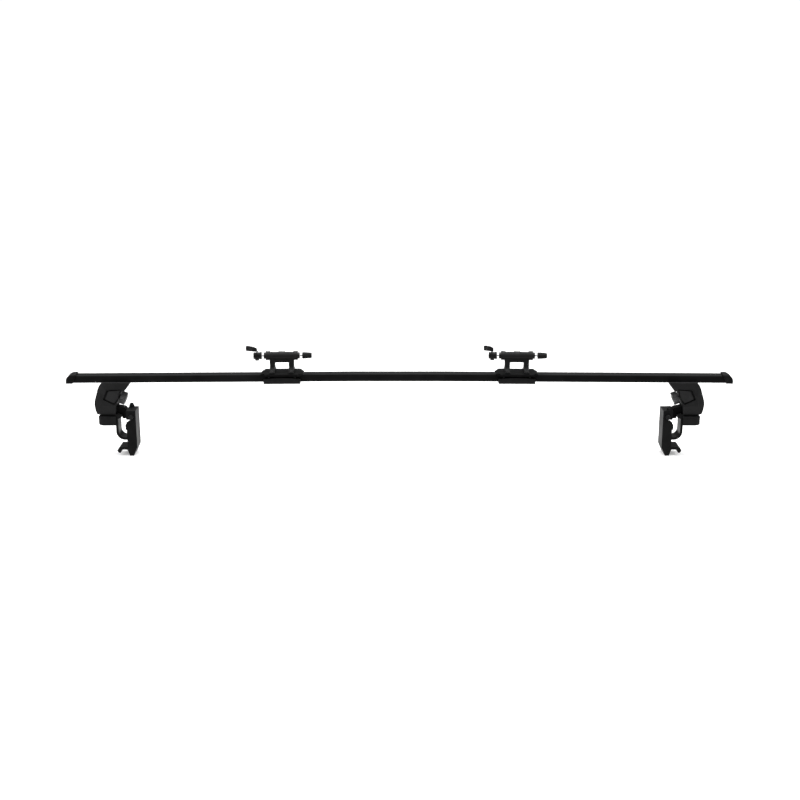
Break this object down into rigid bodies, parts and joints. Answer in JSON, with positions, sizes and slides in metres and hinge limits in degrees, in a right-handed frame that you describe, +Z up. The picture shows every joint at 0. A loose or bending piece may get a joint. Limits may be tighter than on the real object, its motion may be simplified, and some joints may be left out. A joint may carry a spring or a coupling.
{
  "type": "bed cargo bar",
  "caption": "Cambered crossbar for a pickup bed, with a clamp foot for each side rail and sliding fork mounts with quick-release skewers for carrying bicycles by the fork.",
  "frame": {"origin": "centre of the bar's flat top face at mid-span", "axes": "+X along the bar to the right as seen from the front, +Y to the back, +Z up; the skewer levers point to the front"},
  "size_m": [1.8684, 0.0744, 0.3226],
  "materials": {
    "bar_coating": "satin black powder coat",
    "cap_plastic": "fine moulded texture",
    "cast_coating": "semi-gloss black coated casting",
    "dark_fastener": "black zinc",
    "pad_rubber": "matt",
    "ring_steel": "black oxide",
    "skewer_steel": "bright",
    "lever_plastic": "satin moulded",
    "tower_plastic": "fine moulded texture",
    "panel_plastic": "satin moulded",
    "zinc_steel": "zinc plated",
    "arm_steel": "satin black coat",
    "knob_plastic": "glossy dark grey",
    "bracket_coating": "smooth satin black powder coat"
  },
  "bodies": {
    "bar": {"bar": "bar_coating", "end_cap_left": "cap_plastic", "end_cap_right": "cap_plastic"},
    "fork_mount_left": {"saddle_left": "cast_coating", "clamp_plate_left": "cast_coating", "clamp_bolts_left": "dark_fastener", "saddle_liner_left": "pad_rubber", "fork_head_left": "cast_coating", "dropout_rings_left": "ring_steel", "post_screws_left": "dark_fastener"},
    "skewer_left": {"skewer_rod_left": "skewer_steel"},
    "cam_left": {"cam_housing_left": "lever_plastic"},
    "lever_left": {"lever_shaft_left": "skewer_steel", "lever_grip_left": "lever_plastic"},
    "nut_left": {"skewer_nut_left": "lever_plastic"},
    "foot_left": {"front_shell_left": "tower_plastic", "rear_shell_left": "tower_plastic", "tower_frame_left": "zinc_steel", "slot_nut_left": "zinc_steel", "slot_bolts_left": "dark_fastener", "side_panels_left": "panel_plastic", "rail_pad_left": "pad_rubber", "hook_arm_left": "arm_steel", "base_bolts_left": "dark_fastener"},
    "knob_left": {"tension_knob_left": "knob_plastic", "tension_bolt_left": "dark_fastener"},
    "jaw_left": {"jaw_arm_left": "bracket_coating", "jaw_bracket_left": "bracket_coating", "jaw_pad_left": "pad_rubber", "cross_bolt_left": "dark_fastener", "cap_nut_left": "dark_fastener"},
    "fork_mount_right": {"saddle_right": "cast_coating", "clamp_plate_right": "cast_coating", "clamp_bolts_right": "dark_fastener", "saddle_liner_right": "pad_rubber", "fork_head_right": "cast_coating", "dropout_rings_right": "ring_steel", "post_screws_right": "dark_fastener"},
    "skewer_right": {"skewer_rod_right": "skewer_steel"},
    "cam_right": {"cam_housing_right": "lever_plastic"},
    "lever_right": {"lever_shaft_right": "skewer_steel", "lever_grip_right": "lever_plastic"},
    "nut_right": {"skewer_nut_right": "lever_plastic"},
    "foot_right": {"front_shell_right": "tower_plastic", "rear_shell_right": "tower_plastic", "tower_frame_right": "zinc_steel", "slot_nut_right": "zinc_steel", "slot_bolts_right": "dark_fastener", "side_panels_right": "panel_plastic", "rail_pad_right": "pad_rubber", "hook_arm_right": "arm_steel", "base_bolts_right": "dark_fastener"},
    "knob_right": {"tension_knob_right": "knob_plastic", "tension_bolt_right": "dark_fastener"},
    "jaw_right": {"jaw_arm_right": "bracket_coating", "jaw_bracket_right": "bracket_coating", "jaw_pad_right": "pad_rubber", "cross_bolt_right": "dark_fastener", "cap_nut_right": "dark_fastener"}
  },
  "joints": [
    {"name": "fork_slide_left", "type": "slide", "parent": "bar", "child": "fork_mount_left", "axis": [1, 0, 0.0064], "range_m": [-0.15, 0.13]},
    {"name": "skewer_slide_left", "type": "slide", "parent": "fork_mount_left", "child": "skewer_left", "axis": [1, 0, 0.0064], "range_m": [-0.006, 0.004]},
    {"name": "cam_draw_left", "type": "slide", "parent": "skewer_left", "child": "cam_left", "axis": [1, 0, 0.0064], "range_m": [0, 0.0018]},
    {"name": "lever_left_turn", "type": "hinge", "parent": "cam_left", "child": "lever_left", "pos_m": [-0.39739, 0, 0.04856], "axis": [0.0059, -0.382, -0.9241], "range_deg": [0, 130]},
    {"name": "nut_left_turn", "type": "hinge", "parent": "skewer_left", "child": "nut_left", "pos_m": [-0.26239, 0, 0.04942], "axis": [1, 0, 0.0064], "continuous": true},
    {"name": "foot_slide_left", "type": "slide", "parent": "bar", "child": "foot_left", "axis": [1, 0, 0.0064], "range_m": [-0.04, 0.18]},
    {"name": "knob_left_turn", "type": "hinge", "parent": "foot_left", "child": "knob_left", "pos_m": [-0.776, 0, -0.074], "axis": [-0.9397, 0, 0.342], "range_deg": [0, 2592]},
    {"name": "jaw_slide_left", "type": "slide", "parent": "foot_left", "child": "jaw_left", "axis": [-0.9397, 0, 0.342], "range_m": [0, 0.009]},
    {"name": "fork_slide_right", "type": "slide", "parent": "bar", "child": "fork_mount_right", "axis": [1, 0, -0.0064], "range_m": [-0.13, 0.15]},
    {"name": "skewer_slide_right", "type": "slide", "parent": "fork_mount_right", "child": "skewer_right", "axis": [1, 0, -0.0064], "range_m": [-0.006, 0.004]},
    {"name": "cam_draw_right", "type": "slide", "parent": "skewer_right", "child": "cam_right", "axis": [1, 0, -0.0064], "range_m": [0, 0.0018]},
    {"name": "lever_right_turn", "type": "hinge", "parent": "cam_right", "child": "lever_right", "pos_m": [0.25939, 0, 0.04944], "axis": [-0.0059, -0.382, -0.9241], "range_deg": [0, 130]},
    {"name": "nut_right_turn", "type": "hinge", "parent": "skewer_right", "child": "nut_right", "pos_m": [0.39439, 0, 0.04858], "axis": [1, 0, -0.0064], "continuous": true},
    {"name": "foot_slide_right", "type": "slide", "parent": "bar", "child": "foot_right", "axis": [1, 0, -0.0064], "range_m": [-0.18, 0.04]},
    {"name": "knob_right_turn", "type": "hinge", "parent": "foot_right", "child": "knob_right", "pos_m": [0.776, 0, -0.074], "axis": [0.9397, 0, 0.342], "range_deg": [0, 2592]},
    {"name": "jaw_slide_right", "type": "slide", "parent": "foot_right", "child": "jaw_right", "axis": [0.9397, 0, 0.342], "range_m": [0, 0.009]}
  ],
  "couplings": [
    {"joint": "knob_left_turn", "follows": "jaw_slide_left", "rad_per_m": 5026.5},
    {"joint": "cam_draw_left", "follows": "lever_left_turn", "m_per_rad": 0.00079},
    {"joint": "knob_right_turn", "follows": "jaw_slide_right", "rad_per_m": 5026.5},
    {"joint": "cam_draw_right", "follows": "lever_right_turn", "m_per_rad": 0.00079}
  ]
}
